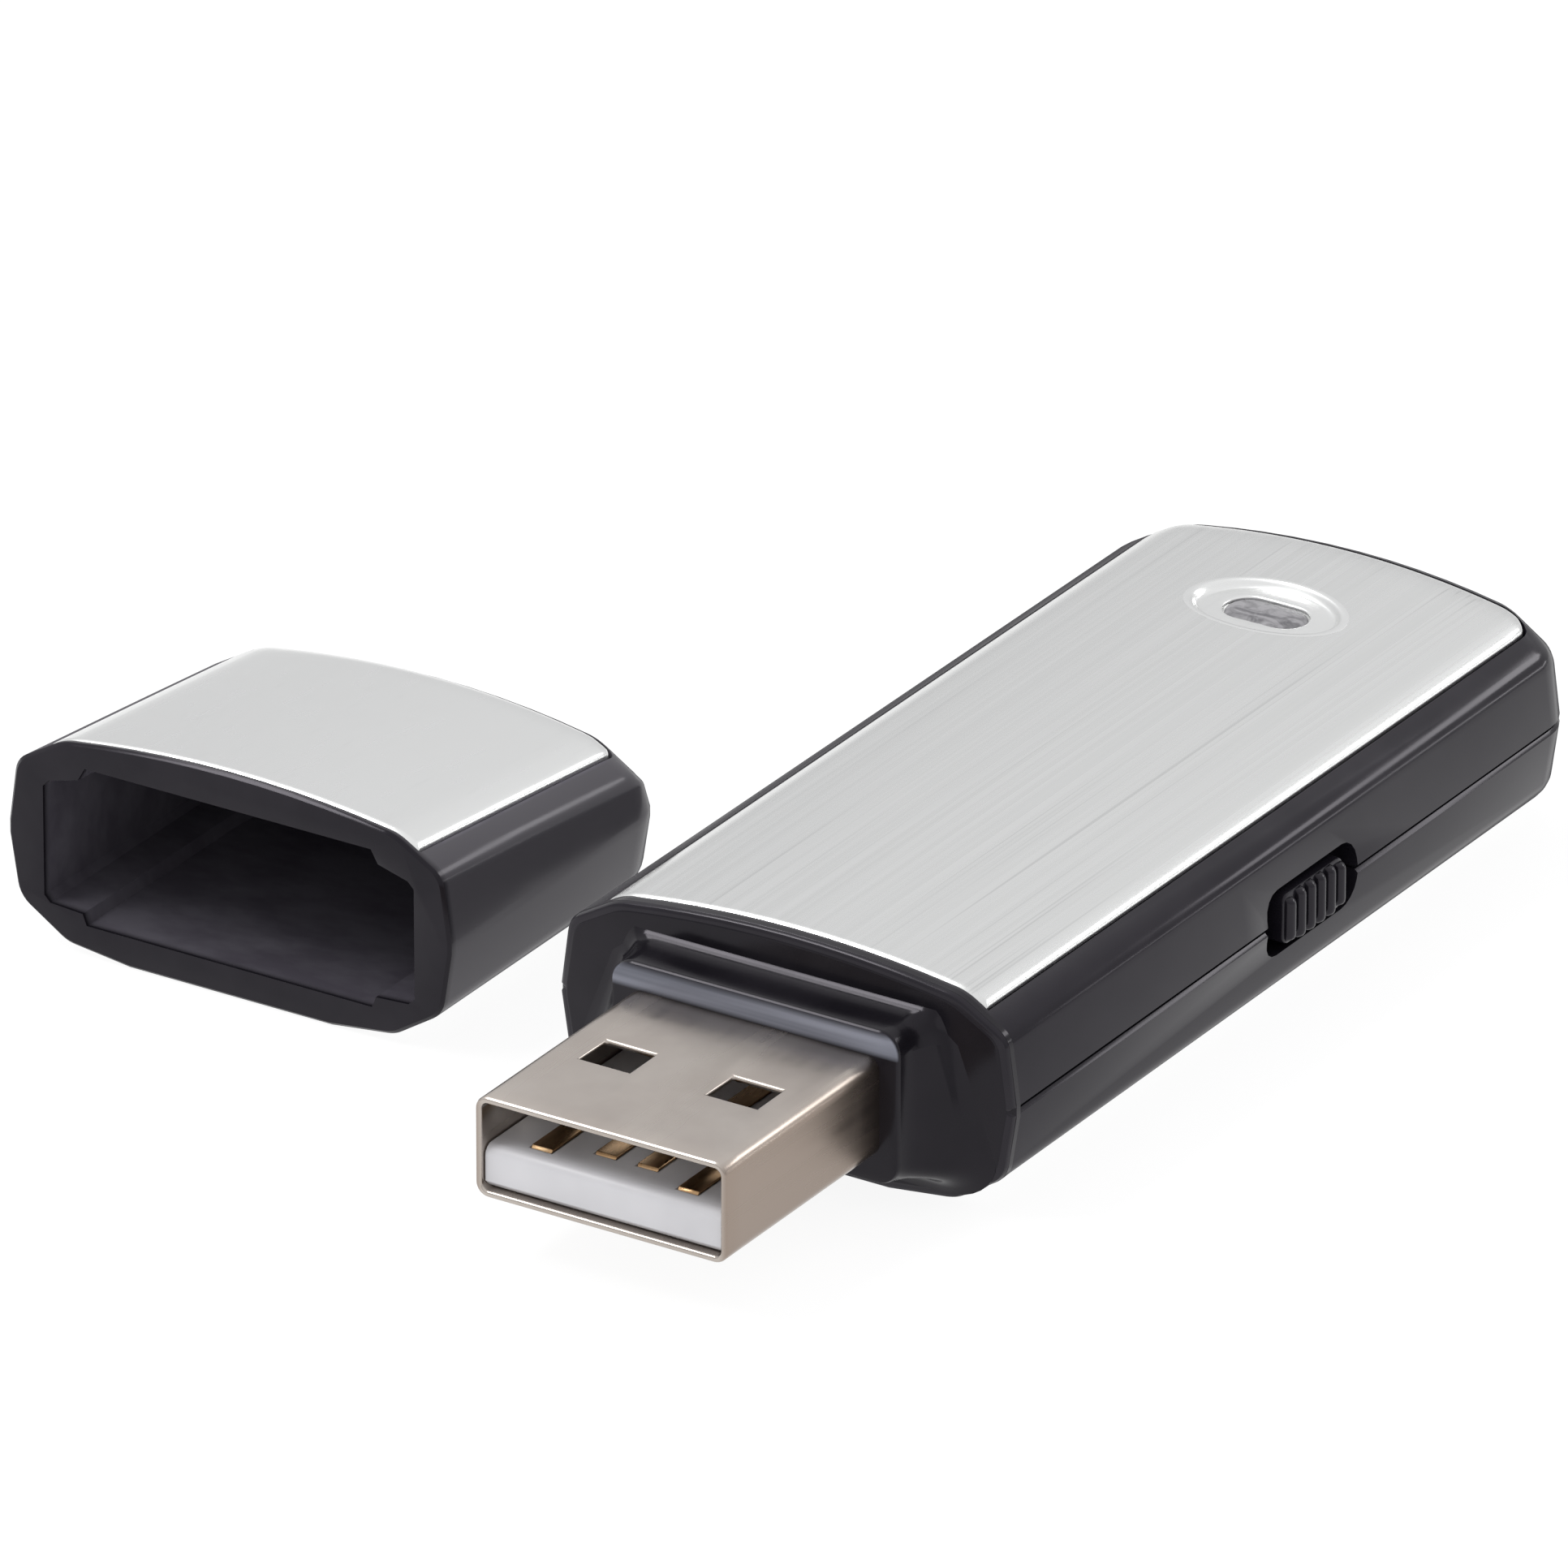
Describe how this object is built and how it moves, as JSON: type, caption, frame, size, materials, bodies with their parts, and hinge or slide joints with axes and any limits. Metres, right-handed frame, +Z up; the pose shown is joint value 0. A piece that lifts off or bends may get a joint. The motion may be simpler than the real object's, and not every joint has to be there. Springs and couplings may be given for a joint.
{
  "type": "usb flash drive",
  "caption": "Flat USB flash drive with brushed aluminium faces, dark plastic case, slide switch, status window and pull-off cap.",
  "frame": {"origin": "middle of the drive's underside, on the table; the drive's body runs 22.6 mm each way from it along Y", "axes": "+Z up out of the top plate, +Y along the drive away from its plug, +X towards the side with the slide switch"},
  "size_m": [0.0496, 0.059, 0.0102],
  "materials": {
    "case_plastic": "gloss, near black",
    "aluminium": "brushed along the length",
    "plug_steel": "nickel plated, satin",
    "white_plastic": "satin",
    "contact_gold": "gold plated",
    "board_green": "solder mask",
    "chip_black": "moulded epoxy",
    "window_grey": "smoked, see-through",
    "ceramic": "fired ceramic"
  },
  "bodies": {
    "drive": {"upper_case": "case_plastic", "lower_case": "case_plastic", "plug_collar": "case_plastic", "top_plate": "aluminium", "bottom_plate": "aluminium", "status_window": "window_grey", "plug_shell": "plug_steel", "crystal": "plug_steel", "plug_tongue": "white_plastic", "status_led": "white_plastic", "contact_power": "contact_gold", "contact_data_minus": "contact_gold", "contact_data_plus": "contact_gold", "contact_ground": "contact_gold", "circuit_board": "board_green", "controller_chip": "chip_black", "memory_chip": "chip_black", "switch_housing": "chip_black", "resistor_1": "chip_black", "resistor_2": "chip_black", "capacitor_1": "ceramic", "capacitor_2": "ceramic"},
    "switch_knob": {"switch_knob": "case_plastic"},
    "switch_lever": {"switch_lever": "white_plastic"},
    "cap": {"cap_shell": "case_plastic", "cap_top_plate": "aluminium", "cap_bottom_plate": "aluminium"}
  },
  "joints": [
    {"name": "knob_slide", "type": "slide", "parent": "drive", "child": "switch_knob", "axis": [0, -1, 0], "range_m": [-0.0009, 0.0009]},
    {"name": "lever_slide", "type": "slide", "parent": "drive", "child": "switch_lever", "axis": [0, -1, 0], "range_m": [-0.0009, 0.0009]},
    {"name": "cap_pull", "type": "slide", "parent": "drive", "child": "cap", "axis": [0, 1, 0], "range_m": [0, 0.0138]}
  ],
  "couplings": [
    {"joint": "lever_slide", "follows": "knob_slide", "ratio": 1}
  ]
}
